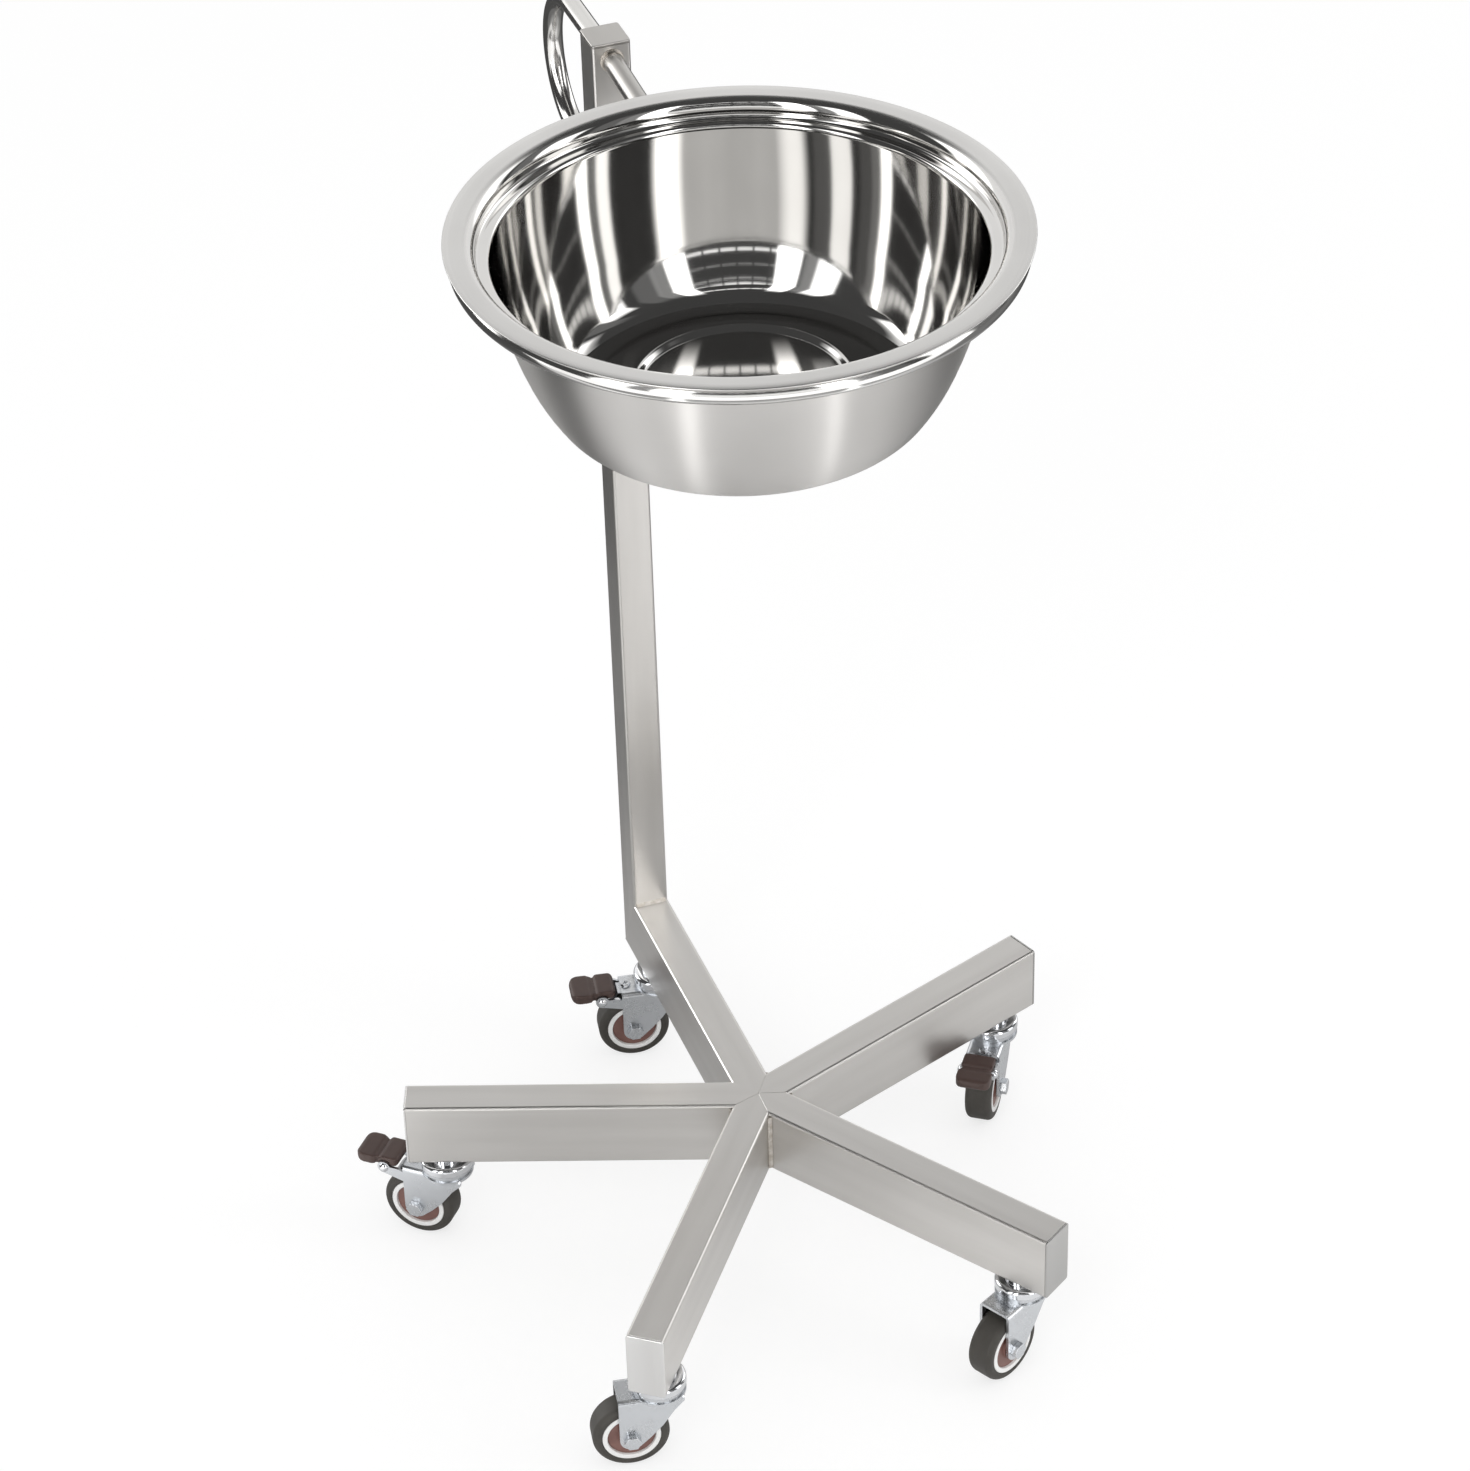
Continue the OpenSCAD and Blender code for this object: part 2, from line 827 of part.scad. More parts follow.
step_r = 4.5;
ledge = 1;
shoulder_r = 4;
top_bend = 8;
upper_share = 0.7;
ridge_r = 4;
ridge_turn = 35;
ridge_run = 2;
lip_drop = 2;
wall_h = bowl_depth - lip_r - lip_drop - step_r - shoulder_r - top_bend * sin(top_lean)
    - knuckle_r * (1 - sin(low_lean));
upper_bend = upper_share * wall_h / (sin(wall_lean) - sin(top_lean));
lower_bend = (1 - upper_share) * wall_h / (sin(low_lean) - sin(wall_lean));
// Radius at which the knuckle ends and the floor begins to rise
knuckle_in = ring_r - lip_r - step_r - ledge - shoulder_r
    - top_bend * (1 - cos(top_lean)) - upper_bend * (cos(top_lean) - cos(wall_lean))
    - lower_bend * (cos(wall_lean) - cos(low_lean)) - knuckle_r * cos(low_lean)
    - knuckle_r * sin(floor_rise);
floor_run = (knuckle_in - floor_ring_r - ridge_r * sin(floor_rise)) / cos(floor_rise);
bowl_steps = [
    [flange_r - ring_r, lip_r, 90],
    [lip_drop, step_r, -90],
    [ledge, shoulder_r, 90],
    [0, top_bend, -top_lean],
    [0, upper_bend, top_lean - wall_lean],
    [0, lower_bend, wall_lean - low_lean],
    [0, knuckle_r, low_lean - 90 - floor_rise],
    [floor_run, ridge_r, floor_rise + ridge_turn],
    [ridge_run, ridge_r, -ridge_turn]];

module bowl() {
    flange_top = ring_z + bar_r + part_gap + bowl_t;
    walk = stations([flange_r, flange_top, 180], bowl_steps);
    last = walk[len(walk) - 1];
    path = concat(walk, [[0, last[1], 180]]);
    n = len(path) - 1;
    color(bright)
        translate([0, ring_y, 0])
            rotate_extrude()
                polygon(concat([for (p = path) [p[0], p[1]]],
                    [for (k = [n:-1:0]) [path[k][0] + bowl_t * cos(path[k][2] + 90),
                        path[k][1] + bowl_t * sin(path[k][2] + 90)]]));
}

rear_leg();
side_leg(left);  // left_leg
side_leg(front);  // front_leg
side_leg(right_front);  // right_front_leg
side_leg(right_back);  // right_back_leg
leg_end_plates();
corner_welds();
post();
post_cap();
bowl_arm();
bowl_ring();
push_handle();
frame_welds();
stem_nuts();
swivel_heads();
swivel_balls();
bowl();
fork(left, true);  // left_fork
axle(left);  // left_axle
tyre(left);  // left_tyre
wheel_core(left);  // left_wheel_core
hub_covers(left);  // left_hub_covers
hub_bush(left);  // left_hub_bush
pedal(left);  // left_pedal
brake_leaf(left);  // left_brake_leaf
leaf_screw(left);  // left_leaf_screw
pedal_pin(left);  // left_pedal_pin
fork(rear, true);  // rear_fork
axle(rear);  // rear_axle
tyre(rear);  // rear_tyre
wheel_core(rear);  // rear_wheel_core
hub_covers(rear);  // rear_hub_covers
hub_bush(rear);  // rear_hub_bush
pedal(rear);  // rear_pedal
brake_leaf(rear);  // rear_brake_leaf
leaf_screw(rear);  // rear_leaf_screw
pedal_pin(rear);  // rear_pedal_pin
fork(right_back, true);  // right_back_fork
axle(right_back);  // right_back_axle
tyre(right_back);  // right_back_tyre
wheel_core(right_back);  // right_back_wheel_core
hub_covers(right_back);  // right_back_hub_covers
hub_bush(right_back);  // right_back_hub_bush
pedal(right_back);  // right_back_pedal
brake_leaf(right_back);  // right_back_brake_leaf
leaf_screw(right_back);  // right_back_leaf_screw
pedal_pin(right_back);  // right_back_pedal_pin
fork(front, false);  // front_fork
axle(front);  // front_axle
tyre(front);  // front_tyre
wheel_core(front);  // front_wheel_core
hub_covers(front);  // front_hub_covers
hub_bush(front);  // front_hub_bush
fork(right_front, false);  // right_front_fork
axle(right_front);  // right_front_axle
tyre(right_front);  // right_front_tyre
wheel_core(right_front);  // right_front_wheel_core
hub_covers(right_front);  // right_front_hub_covers
hub_bush(right_front);  // right_front_hub_bush
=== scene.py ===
import json
import math
import bpy
import bmesh
from mathutils import Matrix, Vector


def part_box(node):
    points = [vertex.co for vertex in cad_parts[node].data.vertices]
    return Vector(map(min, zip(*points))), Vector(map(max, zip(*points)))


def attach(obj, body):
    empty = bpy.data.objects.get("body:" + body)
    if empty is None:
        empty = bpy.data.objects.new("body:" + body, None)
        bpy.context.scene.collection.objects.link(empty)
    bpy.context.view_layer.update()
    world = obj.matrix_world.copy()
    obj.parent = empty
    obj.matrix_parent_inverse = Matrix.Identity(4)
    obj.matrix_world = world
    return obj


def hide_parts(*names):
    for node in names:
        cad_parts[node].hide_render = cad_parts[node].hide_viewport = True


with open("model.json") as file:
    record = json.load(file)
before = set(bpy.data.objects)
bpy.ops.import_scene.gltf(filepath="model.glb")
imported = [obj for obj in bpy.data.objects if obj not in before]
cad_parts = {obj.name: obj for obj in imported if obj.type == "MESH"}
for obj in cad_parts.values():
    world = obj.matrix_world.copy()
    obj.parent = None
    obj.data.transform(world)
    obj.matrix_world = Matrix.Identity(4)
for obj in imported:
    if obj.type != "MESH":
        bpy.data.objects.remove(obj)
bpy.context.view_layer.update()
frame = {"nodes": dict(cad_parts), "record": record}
record = frame["record"]
bodyOf = {n: b for b, members in record["behaviour"]["bodies"].items() for n in members}
slotOf = {s["node"]: s["material_slot"] for s in record["subparts"]}
scene = bpy.context.scene
print("frame loaded:", len(frame["nodes"]), "nodes")


# camera

camera = {
    "place": (-0.76821, -2.22155, 2.16077),
    "right": (0.93964, -0.34121, -0.02528),
    "down": (-0.22265, -0.55372, -0.80239),
    "ahead": (0.25978, 0.75959, -0.59627),
    "lens": 114.77, "sensor": 36, "near": 0.05,
}


def aimCamera(spec):
    data = bpy.data.cameras.new("camera")
    data.sensor_width = spec["sensor"]
    data.lens = spec["lens"]
    data.clip_start = spec["near"]
    eye = bpy.data.objects.new("camera", data)
    scene.collection.objects.link(eye)
    turn = Matrix((spec["right"], [-v for v in spec["down"]], [-v for v in spec["ahead"]]))
    eye.matrix_world = Matrix.Translation(spec["place"]) @ turn.transposed().to_4x4()
    scene.camera = eye


aimCamera(camera)


# shader maths

class Val:
    def __init__(self, tree, socket):
        self.tree, self.socket = tree, socket

    def node(self, kind, settings=None, inputs=None, out=0):
        made = self.tree.nodes.new(kind)
        for key, value in (settings or {}).items():
            setattr(made, key, value)
        for key, value in (inputs or {}).items():
            if isinstance(value, Val):
                self.tree.links.new(value.socket, made.inputs[key])
            else:
                made.inputs[key].default_value = value
        return Val(self.tree, made.outputs[out])

    def sum(self, operation, a, b=None):
        return self.node("ShaderNodeMath", {"operation": operation},
                         {0: a} if b is None else {0: a, 1: b})

    def __add__(self, o): return self.sum("ADD", self, o)
    def __radd__(self, o): return self.sum("ADD", o, self)
    def __sub__(self, o): return self.sum("SUBTRACT", self, o)
    def __rsub__(self, o): return self.sum("SUBTRACT", o, self)
    def __mul__(self, o): return self.sum("MULTIPLY", self, o)
    def __rmul__(self, o): return self.sum("MULTIPLY", o, self)
    def __truediv__(self, o): return self.sum("DIVIDE", self, o)
    def __pow__(self, o): return self.sum("POWER", self, o)
    def abs(self): return self.sum("ABSOLUTE", self)

    def noise(self, scale, detail=3.0, rough=0.5, stretch=(1, 1, 1), turn=(0, 0, 0)):
        where = self.node("ShaderNodeMapping", {"vector_type": "TEXTURE"},
                          {"Vector": self, "Rotation": turn,
                           "Scale": tuple(1 / s for s in stretch)})
        return where.node("ShaderNodeTexNoise", {}, {"Vector": where, "Scale": scale,
                                                     "Detail": detail, "Roughness": rough})

    def between(self, low, high):
        return self.node("ShaderNodeMapRange", {}, {0: self, 1: low, 2: high})

    def mixed(self, a, b):
        return self.node("ShaderNodeMix", {"data_type": "RGBA"}, {0: self, 6: a, 7: b}, out=2)

    def part(self, i):
        return self.node("ShaderNodeSeparateXYZ", {}, {0: self}, out=i)


def startMaterial(name):
    mat = bpy.data.materials.new(name)
    mat.use_nodes = True
    tree = mat.node_tree
    coords = tree.nodes.new("ShaderNodeTexCoord")
    return mat, tree.nodes["Principled BSDF"], Val(tree, coords.outputs["Object"])


def wear(shader, metallic, colour, rough, normal):
    shader.inputs["Metallic"].default_value = metallic
    for name, value in (("Base Color", colour), ("Roughness", rough), ("Normal", normal)):
        value.tree.links.new(value.socket, shader.inputs[name])


def bumpFrom(height, strength, distance, under=None):
    inputs = {"Strength": strength, "Distance": distance, "Height": height}
    if under:
        inputs["Normal"] = under
    return height.node("ShaderNodeBump", {}, inputs)


def rgb(colour):
    return (*colour, 1)


# finishes: noise scales are per metre, bump depths in metres

brushedSteel = {
    "colour": (0.70, 0.683, 0.66), "dull": (0.62, 0.603, 0.58), "toneRange": (0.35, 0.65),
    "rough": 0.33, "grainRough": 0.10, "cloudRough": 0.12, "bump": 0.10, "bumpDepth": 0.0001,
    "grain": 900, "grainDrawn": 0.02, "streaks": 60, "streaksDrawn": 0.08, "streakShare": 0.6,
    "clouds": 9,
}


def brushed(name, turn, spec=brushedSteel):
    mat, shader, at = startMaterial(name)
    fine = at.noise(spec["grain"], 4, 0.6, (spec["grainDrawn"], 1, 1), turn)
    broad = at.noise(spec["streaks"], 3, 0.5, (spec["streaksDrawn"], 1, 1), turn)
    cloud = at.noise(spec["clouds"], 2, 0.5)
    share = spec["streakShare"]
    tone = (broad * share + cloud * (1 - share)).between(*spec["toneRange"])
    colour = tone.mixed(rgb(spec["dull"]), rgb(spec["colour"]))
    if "paintedShade" in spec:    # painted shade: the end plates on the +x side of the stand get a darker colour, standing in for the dimmer reflections they show
        paintedShadeColour = tone.mixed(rgb([c * 0.9 for c in spec["paintedShade"]]), rgb(spec["paintedShade"]))
        colour = at.part(0).between(*spec["paintedShadeFrom"]).mixed(colour, paintedShadeColour)
    rough = (spec["rough"] - 0.5 * spec["grainRough"] + fine * spec["grainRough"]
             + (cloud - 0.5) * spec["cloudRough"])
    wear(shader, 1, colour, rough, bumpFrom(fine, spec["bump"], spec["bumpDepth"]))
    return mat


polishedSteel = {
    "colour": (0.66, 0.652, 0.637), "shade": 0.93, "rough": 0.08, "smear": 0.03,
    "clouds": 14, "scratches": 300, "scratchRough": 0.02, "bump": 0.02, "bumpDepth": 0.00005,
}


def polished(name, spec=polishedSteel):
    mat, shader, at = startMaterial(name)
    cloud = at.noise(spec["clouds"], 3, 0.5)
    scratch = at.noise(spec["scratches"], 2, 0.5)
    dull = [c * spec["shade"] for c in spec["colour"]]
    wear(shader, 1, cloud.between(0.3, 0.7).mixed(rgb(dull), rgb(spec["colour"])),
         spec["rough"] + cloud * spec["smear"] + (scratch - 0.5) * spec["scratchRough"],
         bumpFrom(scratch, spec["bump"], spec["bumpDepth"]))
    return mat


plastics = {
    "white_plastic": {"colour": (0.95, 0.95, 0.94), "shade": (0.90, 0.895, 0.88),
                      "rough": 0.36, "grain": 0.02},
    "hub_plastic": {"colour": (0.23, 0.115, 0.095), "shade": (0.18, 0.085, 0.07),
                    "rough": 0.42, "grain": 0.04},
    "pedal_plastic": {"colour": (0.070, 0.041, 0.034), "shade": (0.058, 0.034, 0.029),
                      "rough": 0.46, "grain": 0.10},
    "tread": {"colour": (0.040, 0.036, 0.030), "shade": (0.056, 0.051, 0.044),
              "rough": 0.58, "grain": 0.12},
}
mouldedSkin = {"pores": 1600, "poreRough": 0.08, "clouds": 70, "cloudRough": 0.12,
               "bumpDepth": 0.0002}


def moulded(name, spec, skin=mouldedSkin):
    mat, shader, at = startMaterial(name)
    pores = at.noise(skin["pores"], 2, 0.5)
    cloud = at.noise(skin["clouds"], 3, 0.5)
    wear(shader, 0, cloud.between(0.35, 0.7).mixed(rgb(spec["colour"]), rgb(spec["shade"])),
         spec["rough"] + (cloud - 0.5) * skin["cloudRough"] + (pores - 0.5) * skin["poreRough"],
         bumpFrom(pores, spec["grain"], skin["bumpDepth"]))
    return mat


zincPlate = {
    "colour": (0.655, 0.675, 0.70), "dull": (0.605, 0.62, 0.64), "rough": 0.28,
    "clouds": 48, "cloudRough": 0.10, "specks": 900, "speckRough": 0.04,
    "bump": 0.03, "bumpDepth": 0.00005,
}


def plated(name, spec=zincPlate):
    mat, shader, at = startMaterial(name)
    cloud = at.noise(spec["clouds"], 3, 0.5)
    speck = at.noise(spec["specks"], 2, 0.5)
    wear(shader, 1, cloud.between(0.3, 0.7).mixed(rgb(spec["dull"]), rgb(spec["colour"])),
         spec["rough"] + (cloud - 0.5) * spec["cloudRough"] + (speck - 0.5) * spec["speckRough"],
         bumpFrom(speck, spec["bump"], spec["bumpDepth"]))
    return mat


weldMetal = {
    "colour": (0.66, 0.63, 0.59), "burnt": (0.42, 0.38, 0.33), "ripples": 260,
    "rough": 0.24, "rippleRough": 0.2, "bump": 0.3, "bumpDepth": 0.0004,
}


def welded(name, spec=weldMetal):
    mat, shader, at = startMaterial(name)
    ripple = at.noise(spec["ripples"], 3, 0.6)
    wear(shader, 1, ripple.between(0.35, 0.7).mixed(rgb(spec["burnt"]), rgb(spec["colour"])),
         spec["rough"] + ripple * spec["rippleRough"],
         bumpFrom(ripple, spec["bump"], spec["bumpDepth"]))
    return mat


# grain directions in degrees, along each leg
legTurns = {"rear_leg": 90, "left_leg": 159.3, "front_leg": 232.7, "right_front_leg": 303.5,
            "right_back_leg": 19.9}
upright = (0, math.pi / 2, 0)
sideways = (0, 0, math.pi / 2)
chromePlate = dict(polishedSteel, colour=(0.76, 0.77, 0.79), rough=0.05, smear=0.05)
handleSteel = dict(polishedSteel, colour=(0.60, 0.59, 0.572), rough=0.13, smear=0.02)
# painted shade: plates past x 0.06 to 0.10 m take the darker colour below, in place of their dimmer
# reflections
plateSteel = dict(brushedSteel, colour=(0.76, 0.755, 0.745), dull=(0.66, 0.65, 0.64),
                  rough=0.20, grain=500, bump=0.04,
                  paintedShade=(0.44, 0.435, 0.425), paintedShadeFrom=(0.06, 0.10))
capSteel = dict(brushedSteel, colour=(0.48, 0.465, 0.445), dull=(0.41, 0.397, 0.378))
armSteel = dict(brushedSteel, colour=(0.47, 0.457, 0.437), dull=(0.40, 0.388, 0.37), rough=0.30)

looks = {name: moulded(name, spec) for name, spec in plastics.items()}
looks["zinc"] = plated("zinc")
looks["chrome"] = polished("chrome", chromePlate)
looks["weld"] = welded("weld")
looks["bright_steel"] = polished("bright_steel")
looks["satin_steel"] = brushed("satin_steel_upright", upright)
nodeLooks = {leg: brushed("satin_steel_" + leg, (0, 0, math.radians(turn)))
             for leg, turn in legTurns.items()}
nodeLooks["leg_end_plates"] = brushed("satin_steel_plates", upright, plateSteel)
nodeLooks["bowl_arm"] = brushed("satin_steel_arm", sideways, armSteel)
nodeLooks["push_handle"] = polished("handle_steel", handleSteel)
nodeLooks["post_cap"] = brushed("satin_steel_cap", sideways, capSteel)
print("materials made:", len(bpy.data.materials))


# pieces from the frame

def smoothAll(mesh):
    for poly in mesh.polygons:
        poly.use_smooth = True


def smoothByAngle(mesh, degrees):
    smoothAll(mesh)
    mesh.set_sharp_from_angle(angle=math.radians(degrees))


def addPiece(name, mesh, body, slot, look, *stands):
    piece = bpy.data.objects.new(name, mesh)
    scene.collection.objects.link(piece)
    if isinstance(look, tuple):    # the mesh's own material indices stay
        for each in look:
            mesh.materials.append(each)
    else:
        mesh.materials.clear()
        mesh.materials.append(look)
        for poly in mesh.polygons:
            poly.material_index = 0
    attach(piece, body)
    if stands:
        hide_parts(*stands)


softEdges = {
    "default": 0.00035, "post_cap": 0.0005, "leg_end_plates": 0.0004, "fork": 0.0004,
    "axle": 0.0005, "wheel_core": 0.0006, "hub_covers": 0.0005, "tyre": 0.0008,
    "leaf_screw": 0.00025, "brake_leaf": 0.0002, "pedal_pin": 0.0003,
}
dressing = {"merge": 2e-6, "flat": 0.6, "smooth": 60, "corner": 35, "segments": 2, "weight": 80}


def mergedCopy(node, spec=dressing):
    mesh = frame["nodes"][node].data.copy()
    bm = bmesh.new()
    bm.from_mesh(mesh)
    bmesh.ops.remove_doubles(bm, verts=bm.verts, dist=spec["merge"])
    bmesh.ops.dissolve_limit(bm, angle_limit=math.radians(spec["flat"]), verts=bm.verts,
                             edges=bm.edges)
    bm.to_mesh(mesh)
    bm.free()
    return mesh


def flattened(holder):
    graph = bpy.context.evaluated_depsgraph_get()
    result = bpy.data.meshes.new_from_object(holder.evaluated_get(graph))
    bpy.data.objects.remove(holder)
    return result


def withModifiers(mesh, *steps):
    holder = bpy.data.objects.new("holder", mesh)
    scene.collection.objects.link(holder)
    for kind, settings in steps:
        step = holder.modifiers.new(kind.lower(), kind)
        for key, value in settings.items():
            setattr(step, key, value)
    return flattened(holder)


def edgeFor(node):
    for key, width in softEdges.items():
        if node.endswith(key):
            return width
    return softEdges["default"]


def dressNode(node, spec=dressing):
    mesh = mergedCopy(node)
    smoothByAngle(mesh, spec["smooth"])
    mesh = withModifiers(
        mesh,
        ("BEVEL", {"width": edgeFor(node), "segments": spec["segments"], "limit_method": "ANGLE",
                   "angle_limit": math.radians(spec["corner"]), "harden_normals": False}),
        ("WEIGHTED_NORMAL", {"mode": "FACE_AREA", "weight": spec["weight"], "keep_sharp": True}))
    look = nodeLooks.get(node, looks[slotOf[node]])
    addPiece(node + "_skin", mesh, bodyOf[node], slotOf[node], look, node)


# bowl

bowlFinish = {
    "inside": (0.625, 0.617, 0.603), "insideDull": (0.565, 0.557, 0.543),
    "insideRings": 1500, "insideClouds": 11, "waves": 20,
    "mirrorRough": 0.045, "mirrorSmear": 0.03, "satinRough": 0.24, "satinGrain": 0.12,
    "waveBump": 0.03, "waveDepth": 0.0012, "insideBump": 0.05,
    "outside": (0.635, 0.622, 0.605), "outsideDull": (0.575, 0.562, 0.545),
    "outsideRings": 1300, "outsideClouds": 8, "outsideRough": 0.36, "ringRough": 0.08,
    "cloudRough": 0.06, "outsideBump": 0.12, "ringDepth": 0.0001,
    "drawn": 0.9, "drawnTurn": 0.25,
}


def ringsAround(at, axis, scale, detail=3.0):
    flat = at.node("ShaderNodeVectorMath", {"operation": "SUBTRACT"}, {0: at, 1: (*axis, 0)})
    parts = [flat.part(i) for i in range(3)]
    radius = (parts[0] * parts[0] + parts[1] * parts[1]) ** 0.5
    where = flat.node("ShaderNodeCombineXYZ", {}, {0: radius, 1: 0.0, 2: parts[2]})
    return where.node("ShaderNodeTexNoise", {}, {"Vector": where, "Scale": scale, "Detail": detail})


def bowlInside(axis, spec=bowlFinish):
    mat, shader, at = startMaterial("bowl_inside")
    satin = at.node("ShaderNodeAttribute", {"attribute_name": "satin"}, {}, out="Fac")
    rings = ringsAround(at, axis, spec["insideRings"])
    cloud = at.noise(spec["insideClouds"], 3, 0.5)
    wave = at.noise(spec["waves"], 1, 0.4)
    shade = cloud.between(0.3, 0.7).mixed(rgb(spec["insideDull"]), rgb(spec["inside"]))
    rough = ((spec["mirrorRough"] + cloud * spec["mirrorSmear"]) * (1 - satin)
             + (spec["satinRough"] + rings * spec["satinGrain"]) * satin)
    ripple = bumpFrom(wave, spec["waveBump"], spec["waveDepth"])
    wear(shader, 1, shade, rough, bumpFrom(rings, spec["insideBump"], spec["ringDepth"], ripple))
    return mat


def bowlOutside(axis, spec=bowlFinish):
    mat, shader, at = startMaterial("bowl_outside")
    rings = ringsAround(at, axis, spec["outsideRings"])
    cloud = at.noise(spec["outsideClouds"], 3, 0.5)
    shade = cloud.between(0.3, 0.7).mixed(rgb(spec["outsideDull"]), rgb(spec["outside"]))
    shader.inputs["Anisotropic"].default_value = spec["drawn"]
    shader.inputs["Anisotropic Rotation"].default_value = spec["drawnTurn"]
    rough = (spec["outsideRough"] + (rings - 0.5) * spec["ringRough"]
             + (cloud - 0.5) * spec["cloudRough"])
    wear(shader, 1, shade, rough, bumpFrom(rings, spec["outsideBump"], spec["ringDepth"]))
    return mat


# metres and degrees, from the rim inwards
bowlShape = {
    "axis": (0.0, -0.011), "ring": 0.160, "sheet": 0.0012, "turns": 232, "degreesPerCut": 2.5,
    "longest": 0.006,
    "lip": 0.007, "dropBelowLip": 0.002, "step": 0.0025, "ledge": 0.0033, "shoulder": 0.0025,
    "topBend": 0.008, "topLean": 8, "wallLean": 22, "lowLean": 34, "upperShare": 0.72,
    "knuckle": 0.019, "floorRise": 20, "ridge": 0.004, "ridgeTurn": 35, "ridgeRun": 0.002,
    "floorRing": 0.066, "depth": 0.1135,
    "satinStart": 0.75, "satinRun": 0.5,    # shares of the lip
}


def walkProfile(start, steps, degreesPerCut):
    r, z, turn = start
    path = [start]
    for length, bend, angle in steps:
        r += length * math.cos(math.radians(turn))
        z += length * math.sin(math.radians(turn))
        cuts = max(4, math.ceil(abs(angle) / degreesPerCut))
        side = 1 if angle > 0 else -1
        centre = (r + side * bend * math.cos(math.radians(turn + 90)),
                  z + side * bend * math.sin(math.radians(turn + 90)))
        for k in range(cuts + 1):
            heading = turn + angle * k / cuts
            path.append((centre[0] - side * bend * math.cos(math.radians(heading + 90)),
                         centre[1] - side * bend * math.sin(math.radians(heading + 90)), heading))
        r, z, turn = path[-1]
    return path


def bowlSteps(spec, flange):
    top, mid, low, rise = (math.radians(spec[k])
                           for k in ("topLean", "wallLean", "lowLean", "floorRise"))
    wall = (spec["depth"] - spec["lip"] - spec["dropBelowLip"] - spec["step"] - spec["shoulder"]
            - spec["topBend"] * math.sin(top) - spec["knuckle"] * (1 - math.sin(low)))
    upper = spec["upperShare"] * wall / (math.sin(mid) - math.sin(top))
    lower = (1 - spec["upperShare"]) * wall / (math.sin(low) - math.sin(mid))
    inner = (spec["ring"] - spec["lip"] - spec["step"] - spec["ledge"] - spec["shoulder"]
             - spec["topBend"] * (1 - math.cos(top)) - upper * (math.cos(top) - math.cos(mid))
             - lower * (math.cos(mid) - math.cos(low))
             - spec["knuckle"] * (math.cos(low) + math.sin(rise)))
    run = (inner - spec["floorRing"] - spec["ridge"] * math.sin(rise)) / math.cos(rise)
    # straight length, bend radius, turn
    return [
        (flange - spec["ring"], spec["lip"], 90), (spec["dropBelowLip"], spec["step"], -90),
        (spec["ledge"], spec["shoulder"], 90), (0, spec["topBend"], -spec["topLean"]),
        (0, upper, spec["topLean"] - spec["wallLean"]),
        (0, lower, spec["wallLean"] - spec["lowLean"]),
        (0, spec["knuckle"], spec["lowLean"] - 90 - spec["floorRise"]),
        (run, spec["ridge"], spec["floorRise"] + spec["ridgeTurn"]),
        (spec["ridgeRun"], spec["ridge"], -spec["ridgeTurn"]),
    ]


def subdivided(path, longest):
    out = [path[0]]
    for a, b in zip(path, path[1:]):
        cuts = max(1, math.ceil(math.hypot(b[0] - a[0], b[1] - a[1]) / longest))
        out += [tuple(a[i] + (b[i] - a[i]) * k / cuts for i in range(3))
                for k in range(1, cuts + 1)]
    return out


def latheMesh(name, loop, turns, axis, satin):
    mesh = bpy.data.meshes.new(name)
    verts, faces = [], []
    for k in range(turns):
        a = 2 * math.pi * k / turns
        verts += [(axis[0] + r * math.cos(a), axis[1] + r * math.sin(a), z) for r, z in loop]
    n = len(loop)
    for k in range(turns):
        here, there = k * n, (k + 1) % turns * n
        faces += [(here + i, there + i, there + i + 1, here + i + 1) for i in range(n - 1)]
    mesh.from_pydata(verts, [], faces)
    bm = bmesh.new()
    bm.from_mesh(mesh)
    layer = bm.verts.layers.float.new("satin")
    for i, vert in enumerate(bm.verts):
        vert[layer] = satin[i % n]
    for face in bm.faces:    # satin is 2 on the outside
        face.material_index = 1 if all(v[layer] > 1.5 for v in face.verts) else 0
    bmesh.ops.remove_doubles(bm, verts=bm.verts, dist=1e-7)
    bmesh.ops.recalc_face_normals(bm, faces=bm.faces)
    bm.to_mesh(mesh)
    bm.free()
    return mesh


def makeBowl(spec):
    low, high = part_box("bowl")
    flange = (high.x - low.x) / 2
    sheet, half = spec["sheet"], spec["sheet"] / 2
    path = walkProfile((flange - half, high.z, 180), bowlSteps(spec, flange - half),
                       spec["degreesPerCut"])
    path = subdivided([p for i, p in enumerate(path) if i == 0 or p != path[i - 1]],
                      spec["longest"])
    path.append((0, path[-1][1], 180))
    top = [(r, z) for r, z, turn in path]
    under = [(max(r + sheet * math.cos(math.radians(turn + 90)), 0),
              z + sheet * math.sin(math.radians(turn + 90))) for r, z, turn in path]
    edge = [(flange - half + half * math.cos(math.radians(a)),
             high.z - half + half * math.sin(math.radians(a))) for a in (-60, -30, 0, 30, 60)]
    start, run = spec["ring"] - spec["lip"] * spec["satinStart"], spec["lip"] * spec["satinRun"]
    satin = [2.0] * len(under) + [1.0] * len(edge)
    satin += [min(1, max(0, (r - start) / run)) for r, z in top]
    mesh = latheMesh("bowl", under[::-1] + edge + top, spec["turns"], spec["axis"], satin)
    smoothAll(mesh)
    sides = (bowlInside(spec["axis"]), bowlOutside(spec["axis"]))
    addPiece("bowl_sheet", mesh, "bowl", "bright_steel", sides, "bowl")


# round bar, tube and weld beads, grown by Geometry Nodes along a path

def addInputs(tree, inputs):
    tree.interface.new_socket("Geometry", in_out="INPUT", socket_type="NodeSocketGeometry")
    found = {}
    for name, kind in inputs:
        found[name] = tree.interface.new_socket(name, in_out="INPUT", socket_type=kind).identifier
    tree.interface.new_socket("Geometry", in_out="OUTPUT", socket_type="NodeSocketGeometry")
    return found


